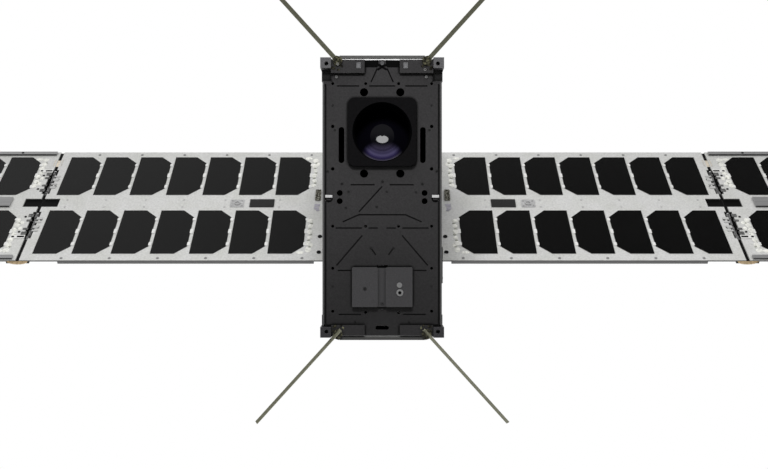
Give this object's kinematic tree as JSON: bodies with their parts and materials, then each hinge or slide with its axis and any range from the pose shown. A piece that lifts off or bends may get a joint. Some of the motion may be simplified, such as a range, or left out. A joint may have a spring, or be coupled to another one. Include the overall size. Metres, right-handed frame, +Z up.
{
  "type": "six-unit nanosatellite with folding solar wings",
  "caption": "Box-shaped nanosatellite with a camera lens in one end, tape antennas and two sun-tracking folding solar wings.",
  "frame": {"origin": "centre of the four screw holes in the rear rail ends, in the plane of those ends", "axes": "+X to the right along the wings as the camera end is seen, +Y from the camera end to the rear end, +Z up along the body's 226 mm side"},
  "size_m": [1.403, 0.4251, 0.3661],
  "materials": {
    "rail_metal": "satin hard anodised",
    "black_metal": "matt black anodised",
    "side_metal": "matt dark anodised",
    "hood_black": "matt black light-absorbing paint",
    "sensor_grey": "fine matt dark grey",
    "white_board": "white solder mask on glass-fibre board",
    "cell_glass": "cover glass over near-black solar cells",
    "lens_glass": "coated lens glass with blue-violet reflections",
    "block_metal": "plain",
    "antenna_metal": "olive-grey coated spring steel tape",
    "bearing_metal": "dark anodised",
    "hinge_steel": "bare stainless",
    "bar_metal": "satin grey",
    "hub_metal": "dull olive-brown"
  },
  "bodies": {
    "bus": {"antenna_hubs": "hub_metal", "avionics_block": "block_metal", "bottom_board": "white_board", "bottom_cells": "cell_glass", "bottom_cover": "side_metal", "front_plate": "black_metal", "left_drive_bearing": "bearing_metal", "left_sensor_box": "sensor_grey", "left_side_panel": "side_metal", "lens_barrel": "hood_black", "lens_glass": "lens_glass", "lens_hood": "hood_black", "lens_ring": "hood_black", "lower_brackets": "black_metal", "lower_left_antenna_blade": "antenna_metal", "lower_left_antenna_box": "black_metal", "lower_left_rail": "rail_metal", "lower_right_antenna_blade": "antenna_metal", "lower_right_antenna_box": "black_metal", "lower_right_rail": "rail_metal", "rear_plate": "black_metal", "right_drive_bearing": "bearing_metal", "right_sensor_box": "sensor_grey", "right_side_panel": "side_metal", "sensor_bridge": "sensor_grey", "side_hatch": "black_metal", "top_board": "white_board", "top_cells": "cell_glass", "top_cover": "side_metal", "upper_brackets": "black_metal", "upper_left_antenna_blade": "antenna_metal", "upper_left_antenna_box": "black_metal", "upper_left_rail": "rail_metal", "upper_right_antenna_blade": "antenna_metal", "upper_right_antenna_box": "black_metal", "upper_right_rail": "rail_metal"},
    "left_yoke": {"left_root_pins": "hinge_steel", "left_yoke": "black_metal"},
    "left_inner_wing": {"left_inner_bars": "bar_metal", "left_inner_cells": "cell_glass", "left_inner_edge_beam": "black_metal", "left_inner_panel": "white_board", "left_mid_pins": "hinge_steel", "left_root_leaves": "hinge_steel"},
    "left_outer_wing": {"left_outer_bars": "bar_metal", "left_outer_cells": "cell_glass", "left_outer_edge_beam": "black_metal", "left_outer_panel": "white_board"},
    "right_yoke": {"right_root_pins": "hinge_steel", "right_yoke": "black_metal"},
    "right_inner_wing": {"right_inner_bars": "bar_metal", "right_inner_cells": "cell_glass", "right_inner_edge_beam": "black_metal", "right_inner_panel": "white_board", "right_mid_pins": "hinge_steel", "right_root_leaves": "hinge_steel"},
    "right_outer_wing": {"right_outer_bars": "bar_metal", "right_outer_cells": "cell_glass", "right_outer_edge_beam": "black_metal", "right_outer_panel": "white_board"}
  },
  "joints": [
    {"name": "left_wing_drive", "type": "hinge", "parent": "bus", "child": "left_yoke", "pos_m": [0, -0.02, 0], "axis": [1, 0, 0], "range_deg": [-127.9, 232.1]},
    {"name": "left_root_fold", "type": "hinge", "parent": "left_yoke", "child": "left_inner_wing", "pos_m": [-0.06, -0.02178, 0.00229], "axis": [0, 0.7891, 0.6143], "range_deg": [0, 90]},
    {"name": "left_mid_fold", "type": "hinge", "parent": "left_inner_wing", "child": "left_outer_wing", "pos_m": [-0.3845, -0.02178, 0.00229], "axis": [0, -0.7891, -0.6143], "range_deg": [0, 180]},
    {"name": "right_wing_drive", "type": "hinge", "parent": "bus", "child": "right_yoke", "pos_m": [0, -0.02, 0], "axis": [1, 0, 0], "range_deg": [-127.9, 232.1]},
    {"name": "right_root_fold", "type": "hinge", "parent": "right_yoke", "child": "right_inner_wing", "pos_m": [0.06, -0.02178, 0.00229], "axis": [0, -0.7891, -0.6143], "range_deg": [0, 90]},
    {"name": "right_mid_fold", "type": "hinge", "parent": "right_inner_wing", "child": "right_outer_wing", "pos_m": [0.3845, -0.02178, 0.00229], "axis": [0, 0.7891, 0.6143], "range_deg": [0, 180]}
  ],
  "couplings": [
    {"joint": "left_mid_fold", "follows": "left_root_fold", "ratio": 2},
    {"joint": "right_mid_fold", "follows": "right_root_fold", "ratio": 2}
  ]
}
